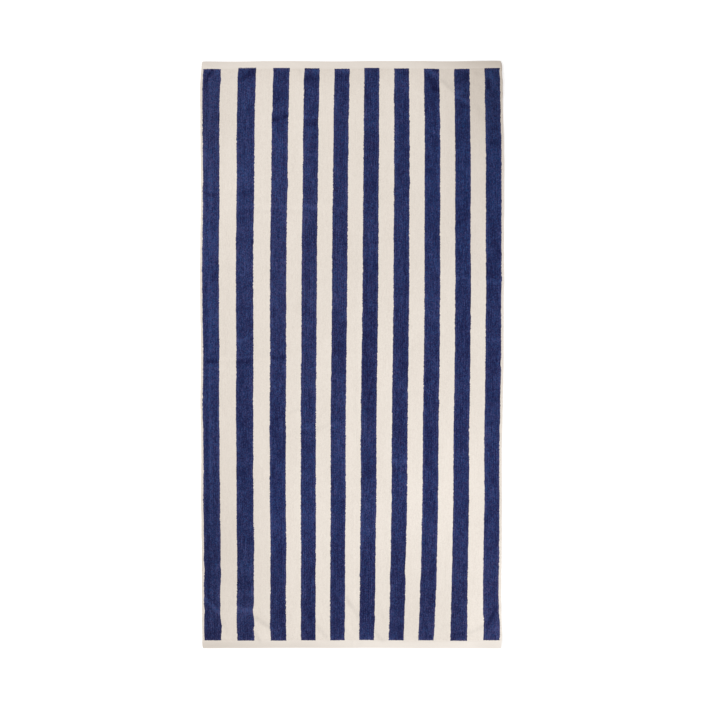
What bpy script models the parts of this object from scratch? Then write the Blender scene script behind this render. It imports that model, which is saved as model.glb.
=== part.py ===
# Striped beach towel in cotton velour terry, spread out face up on a flat surface.
#
# Frame: metres. +X runs across the towel, +Y along it to its top end, and +Z up off the pile.
# The origin is on the surface that the towel lies on, under the middle of its outline.
#
# The towel is one woven cloth: a thick pile field, a thin flat woven band at each end that is
# folded under and stitched as a hem, and a narrow turned edge down each side. It lies flat but
# for the soft crests of its storage folds, short creases at the ends and two raised corners.

import math
from collections import namedtuple

import bmesh
import bpy
import numpy as np

# Driving dimensions, in metres.
LENGTH = 1.762
PILE_THICKNESS = 0.0030
HEM_THICKNESS = 0.0020
SIDE_THICKNESS = 0.0023
HEM_DEPTH = 0.0230
SIDE_WIDTH = 0.0070
STEP_WIDTH = 0.0030            # how far the pile takes to drop to the flat hem
EDGE_ROUNDING = 0.0006
HEM_LINE = LENGTH / 2 - HEM_DEPTH

# Spacing of the mesh lines along the towel: close where the ends are creased, open elsewhere.
BOTTOM_CREASES_END = -0.700
TOP_CREASES_START = 0.600
CREASED_PITCH = 0.020
OPEN_PITCH = 0.050

# Cloth lifted less than this lies flat on the surface.
LEAST_LIFT = 0.0002

# Colours of the dyed yarns.
NAVY = (0.026, 0.032, 0.115, 1.0)
CREAM = (0.800, 0.730, 0.650, 1.0)
COTTON_ROUGHNESS = 0.9

# Navy stripes as woven, from left to right: the left edge of each and its width.
Stripe = namedtuple("Stripe", "left width")
STRIPES = (
    Stripe(-0.447, 0.050),
    Stripe(-0.346, 0.051),
    Stripe(-0.244, 0.048),
    Stripe(-0.150, 0.044),
    Stripe(-0.060, 0.044),
    Stripe(0.030, 0.045),
    Stripe(0.122, 0.045),
    Stripe(0.213, 0.047),
    Stripe(0.306, 0.046),
    Stripe(0.399, 0.046),
)

# Where the outer edges and five threads that run the length of the towel lie, station by
# station from the top end down. The threads are the middles of stripes 1, 3, 8 and 10 and the
# centre of the towel. The first row gives their places as woven.
Station = namedtuple("Station", "along left stripe_1 stripe_3 middle stripe_8 stripe_10 right")
WOVEN = Station(0.0, -0.454, -0.422, -0.220, 0.007, 0.2365, 0.422, 0.453)
STATIONS = (
    Station(0.881, -0.451, -0.419, -0.210, 0.015, 0.238, 0.419, 0.446),
    Station(0.869, -0.453, -0.419, -0.210, 0.015, 0.238, 0.420, 0.4535),
    Station(0.799, -0.457, -0.422, -0.213, 0.014, 0.240, 0.421, 0.457),
    Station(0.643, -0.455, -0.424, -0.216, 0.012, 0.241, 0.424, 0.457),
    Station(0.463, -0.454, -0.423, -0.219, 0.010, 0.241, 0.424, 0.4565),
    Station(0.223, -0.457, -0.425, -0.222, 0.009, 0.241, 0.425, 0.4565),
    Station(-0.002, -0.454, -0.423, -0.222, 0.006, 0.240, 0.424, 0.4545),
    Station(-0.257, -0.4535, -0.422, -0.223, 0.003, 0.236, 0.420, 0.450),
    Station(-0.557, -0.452, -0.419, -0.221, 0.002, 0.232, 0.418, 0.448),
    Station(-0.737, -0.451, -0.420, -0.222, 0.001, 0.227, 0.416, 0.447),
    Station(-0.845, -0.4505, -0.418, -0.220, 0.000, 0.222, 0.419, 0.4495),
    Station(-0.881, -0.449, -0.417, -0.219, 0.000, 0.221, 0.419, 0.447),
)

# Crests where the cloth stands off the surface, as soft ridges between two points. Each has its
# height at both ends and the distance to either side over which it settles. A storage fold
# crosses the whole towel, and the short ones are creases near the ends.
Crest = namedtuple("Crest", "x1 y1 rise1 x2 y2 rise2 reach")
STORAGE_FOLDS = (
    Crest(-0.470, 0.447, 0.0035, 0.470, 0.444, 0.0016, 0.050),
    Crest(-0.470, -0.016, 0.0032, 0.470, -0.010, 0.0014, 0.046),
    Crest(-0.470, -0.443, 0.0012, 0.470, -0.440, 0.0016, 0.046),
    Crest(0.016, 0.890, 0.0012, 0.001, -0.890, 0.0026, 0.030),
)
SHORT_CREASES = (
    Crest(-0.260, 0.700, 0.0020, -0.050, 0.706, 0.0008, 0.030),
    Crest(0.300, 0.226, 0.0010, 0.460, 0.222, 0.0022, 0.036),
    Crest(-0.450, 0.800, 0.0015, -0.420, 0.860, 0.0030, 0.030),
    Crest(-0.345, 0.805, 0.0015, -0.265, 0.860, 0.0025, 0.034),
    Crest(0.225, 0.860, 0.0045, 0.309, 0.780, 0.0050, 0.034),
    Crest(0.309, 0.780, 0.0050, 0.396, 0.690, 0.0030, 0.034),
    Crest(0.396, 0.690, 0.0030, 0.416, 0.610, 0.0012, 0.034),
    Crest(-0.446, -0.725, 0.0030, -0.366, -0.840, 0.0026, 0.030),
    Crest(-0.336, -0.735, 0.0016, -0.246, -0.827, 0.0034, 0.030),
    Crest(-0.246, -0.827, 0.0034, -0.186, -0.860, 0.0016, 0.030),
    Crest(-0.110, -0.800, 0.0016, -0.085, -0.850, 0.0024, 0.026),
    Crest(0.066, -0.806, 0.0016, 0.092, -0.855, 0.0022, 0.026),
    Crest(0.255, -0.840, 0.0016, 0.363, -0.833, 0.0040, 0.030),
    Crest(0.363, -0.833, 0.0040, 0.432, -0.762, 0.0030, 0.030),
)

# Broad lifts: the corners and the upper right edge, which don't lie quite flat.
Swell = namedtuple("Swell", "x y rise reach_x reach_y")
SWELLS = (
    Swell(0.440, 0.835, 0.0070, 0.150, 0.130),
    Swell(0.460, 0.600, 0.0040, 0.060, 0.260),
    Swell(0.455, -0.865, 0.0040, 0.070, 0.070),
    Swell(-0.455, -0.875, 0.0036, 0.080, 0.090),
    Swell(-0.455, 0.880, 0.0024, 0.080, 0.070),
)


def clear_scene():
    for thing in list(bpy.data.objects):
        bpy.data.objects.remove(thing, do_unlink=True)


def cotton(name, colour):
    """A matt dyed cotton."""
    material = bpy.data.materials.new(name)
    material.use_nodes = True
    surface = material.node_tree.nodes["Principled BSDF"]
    surface.inputs["Base Color"].default_value = colour
    surface.inputs["Roughness"].default_value = COTTON_ROUGHNESS
    surface.inputs["Metallic"].default_value = 0.0
    material.diffuse_color = colour
    return material


def lines_between(marks, pitch):
    """The marks in order, with even lines between them about a pitch apart."""
    marks = sorted(marks)
    lines = []
    for low, high in zip(marks, marks[1:]):
        steps = max(1, round((high - low) / pitch))
        lines += [low + (high - low) * step / steps for step in range(steps)]
    return lines + [marks[-1]]


def thread_lines():
    """Mesh lines across the towel, as woven: both edges of each stripe and the middles between."""
    edges = []
    for stripe in STRIPES:
        edges += [stripe.left, stripe.left + stripe.width]
    middles = [(low + high) / 2 for low, high in zip(edges, edges[1:])]
    sides = [WOVEN.left, WOVEN.left + SIDE_WIDTH / 2, WOVEN.right - SIDE_WIDTH / 2, WOVEN.right]
    return sorted(edges + middles + sides)


def station_lines():
    """Mesh lines along the towel: the ends, the hem steps, the storage folds and the creases."""
    end = LENGTH / 2
    bottom = [-end, -HEM_LINE, -HEM_LINE + STEP_WIDTH, BOTTOM_CREASES_END]
    top = [TOP_CREASES_START, HEM_LINE - STEP_WIDTH, HEM_LINE, end - HEM_DEPTH / 2, end]
    middle = [BOTTOM_CREASES_END, TOP_CREASES_START]
    for fold in STORAGE_FOLDS:
        if abs(fold.y2 - fold.y1) < fold.reach:
            centre = (fold.y1 + fold.y2) / 2
            middle += [centre + part * fold.reach for part in (-1.0, -0.5, 0.0, 0.5, 1.0)]
    lines = lines_between(bottom, CREASED_PITCH) + lines_between(middle, OPEN_PITCH)[1:]
    return lines + lines_between(top, CREASED_PITCH)[1:]


def place_across(woven_x, along):
    """Where a thread lies at a station, between the threads of the table on either side of it."""
    stations = STATIONS[::-1]
    heights = [row.along for row in stations]
    laid = [np.interp(along, heights, [row[column] for row in stations])
            for column in range(1, len(WOVEN))]
    return float(np.interp(woven_x, WOVEN[1:], laid))


def soft_bump(distance):
    """1 at the crest, falling smoothly to 0 at a distance of 1."""
    return 0.5 * (1.0 + math.cos(math.pi * min(distance, 1.0)))


def crest_lift(crest, x, y):
    """Height that one crest gives the cloth at a point."""
    run_x, run_y = crest.x2 - crest.x1, crest.y2 - crest.y1
    part = ((x - crest.x1) * run_x + (y - crest.y1) * run_y) / (run_x ** 2 + run_y ** 2)
    part = min(max(part, 0.0), 1.0)
    distance = math.hypot(x - crest.x1 - part * run_x, y - crest.y1 - part * run_y)
    rise = crest.rise1 + (crest.rise2 - crest.rise1) * part
    return rise * soft_bump(distance / crest.reach)


def swell_lift(swell, x, y):
    distance = math.hypot((x - swell.x) / swell.reach_x, (y - swell.y) / swell.reach_y)
    return swell.rise * soft_bump(distance)


def underside_height(x, y):
    """How far the underside is off the surface. Creases that meet blend into one crest."""
    creases = max(crest_lift(crest, x, y) for crest in SHORT_CREASES)
    folds = max(crest_lift(crest, x, y) for crest in STORAGE_FOLDS)
    lift = max(creases, folds) + sum(swell_lift(swell, x, y) for swell in SWELLS)
    return lift if lift > LEAST_LIFT else 0.0


def cloth_thickness(woven_x, along):
    """Pile in the field, thinner at the turned sides, thinnest at the hems."""
    if abs(along) > HEM_LINE - STEP_WIDTH / 2:
        return HEM_THICKNESS
    if min(woven_x - WOVEN.left, WOVEN.right - woven_x) < SIDE_WIDTH:
        return SIDE_THICKNESS
    return PILE_THICKNESS


def stripe_at(woven_x):
    return any(0.0 < woven_x - stripe.left < stripe.width for stripe in STRIPES)


def towel(collection):
    """The underside as an open sheet on its folds, thickened upwards into the pile."""
    across = thread_lines()
    along = station_lines()
    columns, rows = len(across) - 1, len(along) - 1
    mesh = bpy.data.meshes.new("towel")
    grid = bmesh.new()
    bmesh.ops.create_grid(grid, x_segments=columns, y_segments=rows, size=0.5)
    for face in grid.faces:
        middle = face.calc_center_median()
        column = int((middle.x + 0.5) * columns)
        row = int((middle.y + 0.5) * rows)
        woven_x = (across[column] + across[column + 1]) / 2
        y = (along[row] + along[row + 1]) / 2
        face.material_index = int(stripe_at(woven_x) and abs(y) < HEM_LINE)
        face.smooth = True
    weights = []
    for point in grid.verts:
        woven_x = across[round((point.co.x + 0.5) * columns)]
        y = along[round((point.co.y + 0.5) * rows)]
        x = place_across(woven_x, y)
        point.co = (x, y, underside_height(x, y))
        weights.append(cloth_thickness(woven_x, y) / PILE_THICKNESS)
    grid.to_mesh(mesh)
    grid.free()
    mesh.materials.append(cotton("cream_cotton", CREAM))
    mesh.materials.append(cotton("navy_cotton", NAVY))

    body = bpy.data.objects.new("towel", mesh)
    collection.objects.link(body)
    pile = body.vertex_groups.new(name="thickness")
    for index, weight in enumerate(weights):
        pile.add([index], weight, "REPLACE")
    thicken = body.modifiers.new("cloth", "SOLIDIFY")
    thicken.thickness = PILE_THICKNESS
    thicken.offset = 1.0
    thicken.vertex_group = "thickness"
    thicken.thickness_vertex_group = 0.0
    rounding = body.modifiers.new("rounded_edge", "BEVEL")
    rounding.width = EDGE_ROUNDING
    rounding.segments = 1
    rounding.limit_method = "ANGLE"
    rounding.angle_limit = math.radians(60)
    return body


def build():
    clear_scene()
    collection = bpy.data.collections.new("beach_towel")
    bpy.context.scene.collection.children.link(collection)
    towel(collection)


build()
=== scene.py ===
import math

import bpy
import numpy as np
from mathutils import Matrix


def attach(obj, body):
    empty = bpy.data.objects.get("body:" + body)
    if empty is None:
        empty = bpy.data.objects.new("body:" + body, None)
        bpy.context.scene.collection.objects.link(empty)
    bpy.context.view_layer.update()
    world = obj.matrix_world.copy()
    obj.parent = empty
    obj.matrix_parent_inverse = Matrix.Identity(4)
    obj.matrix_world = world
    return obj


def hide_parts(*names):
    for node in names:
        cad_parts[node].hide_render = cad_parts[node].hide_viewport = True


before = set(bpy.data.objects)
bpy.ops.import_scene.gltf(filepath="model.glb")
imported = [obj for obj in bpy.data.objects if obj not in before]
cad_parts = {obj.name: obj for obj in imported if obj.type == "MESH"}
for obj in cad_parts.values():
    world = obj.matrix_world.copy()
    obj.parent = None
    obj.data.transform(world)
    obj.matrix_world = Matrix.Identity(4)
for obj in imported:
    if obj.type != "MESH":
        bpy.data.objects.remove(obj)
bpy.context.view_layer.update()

mm = 0.001

# Where the camera of the photo was: straight above, with the towel a little left of the middle
shot = {
    "picture": (709, 708),
    "metresPerPixel": 0.003,
    "towelOffCentre": (-2.45, -0.8),  # pixels, to the right and up
    "lens": 85.0,
    "sensor": 36.0,
    "farthest": 100.0,
}


def setCamera():
    camera = bpy.data.cameras.new("camera")
    camera.lens = shot["lens"]
    camera.sensor_width = shot["sensor"]
    camera.clip_end = shot["farthest"]
    pictureWidth = shot["picture"][0] * shot["metresPerPixel"]
    right, up = shot["towelOffCentre"]
    eye = bpy.data.objects.new("camera", camera)
    eye.location = (
        -right * shot["metresPerPixel"],
        -up * shot["metresPerPixel"],
        pictureWidth * camera.lens / camera.sensor_width,
    )
    bpy.context.scene.collection.objects.link(eye)
    bpy.context.scene.camera = eye


# Pale light from all round, and a soft lamp beyond the towel's lower left corner
studio = {
    "skyStrength": 0.93,
    "horizonStrength": 1.05,
    "horizonHeight": 0.35,   # as the sine of the angle above the floor
    "lampPlace": (-3.6, -1.8, 4.3),
    "lampAim": (-0.1, -0.2, 0.0),
    "lampSize": 2.0,
    "lampPower": 66.0,
    "floorSize": 60.0,
    "floorDrop": 0.2 * mm,
    "floorColour": (0.86, 0.86, 0.86, 1.0),
    "floorGlow": 0.24,
}


def lightStudio():
    scene = bpy.context.scene
    scene.view_settings.view_transform = "Standard"
    scene.world = bpy.data.worlds.new("studio")
    scene.world.use_nodes = True
    tree = scene.world.node_tree
    direction = tree.nodes.new("ShaderNodeTexCoord")
    parts = tree.nodes.new("ShaderNodeSeparateXYZ")
    paling = tree.nodes.new("ShaderNodeMapRange")
    paling.inputs["From Max"].default_value = studio["horizonHeight"]
    paling.inputs["To Min"].default_value = studio["horizonStrength"]
    paling.inputs["To Max"].default_value = studio["skyStrength"]
    sky = tree.nodes["Background"]
    sky.inputs["Color"].default_value = (1.0, 1.0, 1.0, 1.0)
    tree.links.new(direction.outputs["Generated"], parts.inputs[0])
    tree.links.new(parts.outputs["Z"], paling.inputs["Value"])
    tree.links.new(paling.outputs[0], sky.inputs["Strength"])

    lamp = bpy.data.lights.new("softLamp", "AREA")
    lamp.size = studio["lampSize"]
    lamp.energy = studio["lampPower"]
    holder = bpy.data.objects.new("softLamp", lamp)
    holder.location = studio["lampPlace"]
    aim = np.array(studio["lampAim"]) - np.array(studio["lampPlace"])
    holder.rotation_euler = (
        math.atan2(math.hypot(aim[0], aim[1]), -aim[2]),
        0,
        math.atan2(-aim[0], aim[1]),
    )
    scene.collection.objects.link(holder)


# Noise, curves and small shapes that the cloth is made from

def softNoise(x, y, cellX, cellY, seed):
    # smooth random hills from -1 to 1, about one to a cell; they repeat after many cells
    repeat = 256
    table = np.random.default_rng(seed).uniform(-1, 1, (repeat, repeat))
    placeX, placeY = x / cellX, y / cellY
    column, row = np.floor(placeX).astype(int), np.floor(placeY).astype(int)
    partX, partY = smooth(placeX - column), smooth(placeY - row)

    def corner(right, up):
        return table[(column + right) % repeat, (row + up) % repeat]

    low = corner(0, 0) + (corner(1, 0) - corner(0, 0)) * partX
    high = corner(0, 1) + (corner(1, 1) - corner(0, 1)) * partX
    return low + (high - low) * partY


def smooth(part):
    part = np.clip(part, 0, 1)
    return part * part * (3 - 2 * part)


def rise(value, start, end):
    return smooth((value - start) / (end - start))


def throughPoints(at, places, values):
    # a smooth curve through the points of a table
    slopes = np.gradient(values, places)
    i = np.clip(np.searchsorted(places, at) - 1, 0, len(places) - 2)
    gap = places[i + 1] - places[i]
    part = np.clip((at - places[i]) / gap, 0, 1)
    back = 1 - part
    return (
        back ** 2 * (1 + 2 * part) * values[i] + part ** 2 * (1 + 2 * back) * values[i + 1]
        + part * back * gap * (back * slopes[i] - part * slopes[i + 1])
    )


def bump(distance):
    return 0.5 + 0.5 * np.cos(math.pi * np.clip(distance, 0, 1))


# The towel as woven: sizes in metres
towel = {
    "length": 1.762,
    "flatWidth": 0.907,
    "pileThick": 3.0 * mm,
    "hemThick": 2.3 * mm,
    "sideThick": 2.4 * mm,
    "hemDepth": 23.0 * mm,
    "sideHem": 6.5 * mm,
    "sideStep": (1 * mm, 2 * mm),        # the pile drops to the side hem from here to here
    "hemStep": (1.2 * mm, 2.6 * mm),     # and to the end hem
    "hemSeam": 20.3 * mm,    # from the end
    "sideSeam": 5.2 * mm,    # from the side
    "endsBend": (0.78, 0.87),    # where along the towel the lines of its ends come in
    "nearSide": 30 * mm,     # how far in from the side it wavers
    "pitch": 4.55 * mm,      # of the mesh
    "underSkip": 4,          # mesh lines of the upper face to one of the underside
    "edgeRound": 0.9 * mm,
}

# The closer mesh lines inside each edge, in mm from line to line
sideLines = (1.2, 1.5, 1.4, 1.2, 1.3, 1.5, 2.5)
hemLines = (1.6, 2.6, 3.6, 4.0, 4.0, 2.4, 1.4, 1.2, 1.2, 1.2, 1.6, 2.6)

# The round of the edge from the upper face to the underside: part of edgeRound that it stands out,
# and part of the cloth's height
edgeRounds = ((0.60, 0.95), (0.96, 0.72), (1.0, 0.45), (0.78, 0.16), (0.0, 0.0))

# How the side edges waver: how far and in what steps, in mm, and the seed
sideWavers = ((0.4, 21, 41), (0.3, 7, 42))

# Threads that run the length of the towel, in mm: the two edges, the middles of four stripes and
# the centre. wovenPlaces has them as woven and laidPlaces where they lie, station by station.
# They are measured on the photo, then nudged until the render lay on it.
#                left     stripe1  stripe3  centre   stripe8  stripe10 right
wovenPlaces = (-454.0, -422.0, -220.5, 7.0, 236.5, 421.5, 453.0)
laidPlaces = {
    # along
    881: (-449.0, -418.4, -210.5, 15.0, 238.0, 418.2, 445.0),
    874: (-450.3, -418.4, -210.5, 15.0, 238.0, 418.7, 448.0),
    866: (-451.2, -418.6, -210.8, 15.0, 238.0, 419.2, 448.8),
    853: (-452.4, -419.0, -211.0, 15.0, 238.1, 419.6, 449.2),
    799: (-455.5, -421.4, -213.0, 14.0, 239.4, 420.0, 451.5),
    763: (-455.3, -422.6, -213.8, 13.3, 239.8, 420.2, 451.4),
    720: (-454.8, -423.0, -215.2, 12.8, 240.6, 421.6, 452.8),
    643: (-454.4, -423.2, -216.4, 12.2, 241.3, 423.0, 454.8),
    463: (-452.8, -422.6, -218.6, 10.4, 241.1, 423.8, 455.6),
    343: (-455.2, -423.8, -221.2, 9.4, 241.0, 423.3, 455.6),
    223: (-456.2, -424.0, -221.8, 8.8, 241.3, 424.4, 455.5),
    103: (-454.6, -423.2, -222.2, 7.6, 240.5, 423.2, 454.4),
    -2: (-452.6, -422.2, -221.6, 5.8, 239.6, 422.9, 454.2),
    -137: (-454.8, -423.4, -222.8, 4.0, 237.4, 420.9, 451.9),
    -257: (-452.2, -421.4, -222.8, 3.4, 236.0, 419.0, 449.2),
    -437: (-452.6, -419.8, -223.0, 3.4, 234.4, 419.6, 448.9),
    -557: (-451.2, -418.4, -221.0, 1.6, 232.0, 417.8, 449.0),
    -700: (-450.3, -418.8, -222.0, 1.2, 228.4, 415.7, 446.9),
    -737: (-450.1, -419.0, -222.2, 1.0, 226.7, 415.5, 447.0),
    -790: (-450.0, -418.2, -221.5, 0.4, 224.2, 416.8, 447.8),
    -845: (-448.6, -417.2, -220.4, -0.4, 221.6, 418.4, 449.0),
    -874: (-448.5, -417.0, -220.0, -0.5, 221.0, 418.4, 447.6),
    -881: (-446.5, -417.0, -220.0, -0.5, 221.0, 418.4, 446.4),
}

# The line of the two ends as measured on the photo, in mm: how far each lies from the middle
endLines = {
    # across: top, bottom
    -460: (878.8, 879.2),
    -400: (879.2, 879.8),
    -350: (879.2, 879.7),
    -300: (879.9, 879.8),
    -240: (880.7, 879.2),
    -160: (880.7, 878.9),
    -100: (880.1, 879.3),
    -50: (879.8, 879.6),
    -10: (880.0, 879.1),
    50: (880.9, 878.9),
    120: (881.0, 879.2),
    200: (881.0, 879.9),
    270: (880.2, 879.6),
    380: (880.6, 880.2),
    460: (880.8, 879.6),
}

# Where the cloth stands off the floor, in mm. Crests: two points, the height at each and the
# distance over which the cloth settles to either side. The first four are the storage folds.
crests = (
    # x1, y1, rise1, x2, y2, rise2, reach
    (-470, 447, 3.5, 470, 444, 1.6, 50),
    (-470, -16, 3.2, 470, -10, 1.4, 46),
    (-470, -443, 1.2, 470, -440, 1.6, 46),
    (16, 890, 0.6, 1, -890, 0.8, 32),
    (-260, 700, 2.0, -50, 706, 0.8, 30),
    (300, 226, 1.0, 460, 222, 2.2, 36),
    (-450, 800, 1.5, -420, 860, 3.0, 30),
    (-345, 805, 1.5, -265, 860, 2.5, 34),
    (225, 860, 4.5, 309, 780, 5.0, 34),
    (309, 780, 5.0, 396, 690, 3.0, 34),
    (396, 690, 3.0, 416, 610, 1.2, 34),
    (-446, -725, 3.0, -366, -840, 2.6, 30),
    (-336, -735, 1.6, -246, -827, 3.4, 30),
    (-246, -827, 3.4, -186, -860, 1.6, 30),
    (-110, -800, 1.6, -85, -850, 2.4, 26),
    (66, -806, 1.6, 92, -855, 2.2, 26),
    (255, -840, 1.6, 363, -833, 4.0, 30),
    (363, -833, 4.0, 432, -762, 3.0, 30),
)

# Broad lifts, in mm: the corners and the upper right edge
swells = (
    # x, y, rise, reach across, reach along
    (440, 835, 7.0, 150, 130),
    (460, 600, 4.0, 60, 260),
    (455, -865, 4.0, 70, 70),
    (-455, -875, 3.6, 80, 90),
    (-455, 880, 2.4, 80, 70),
)

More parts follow.
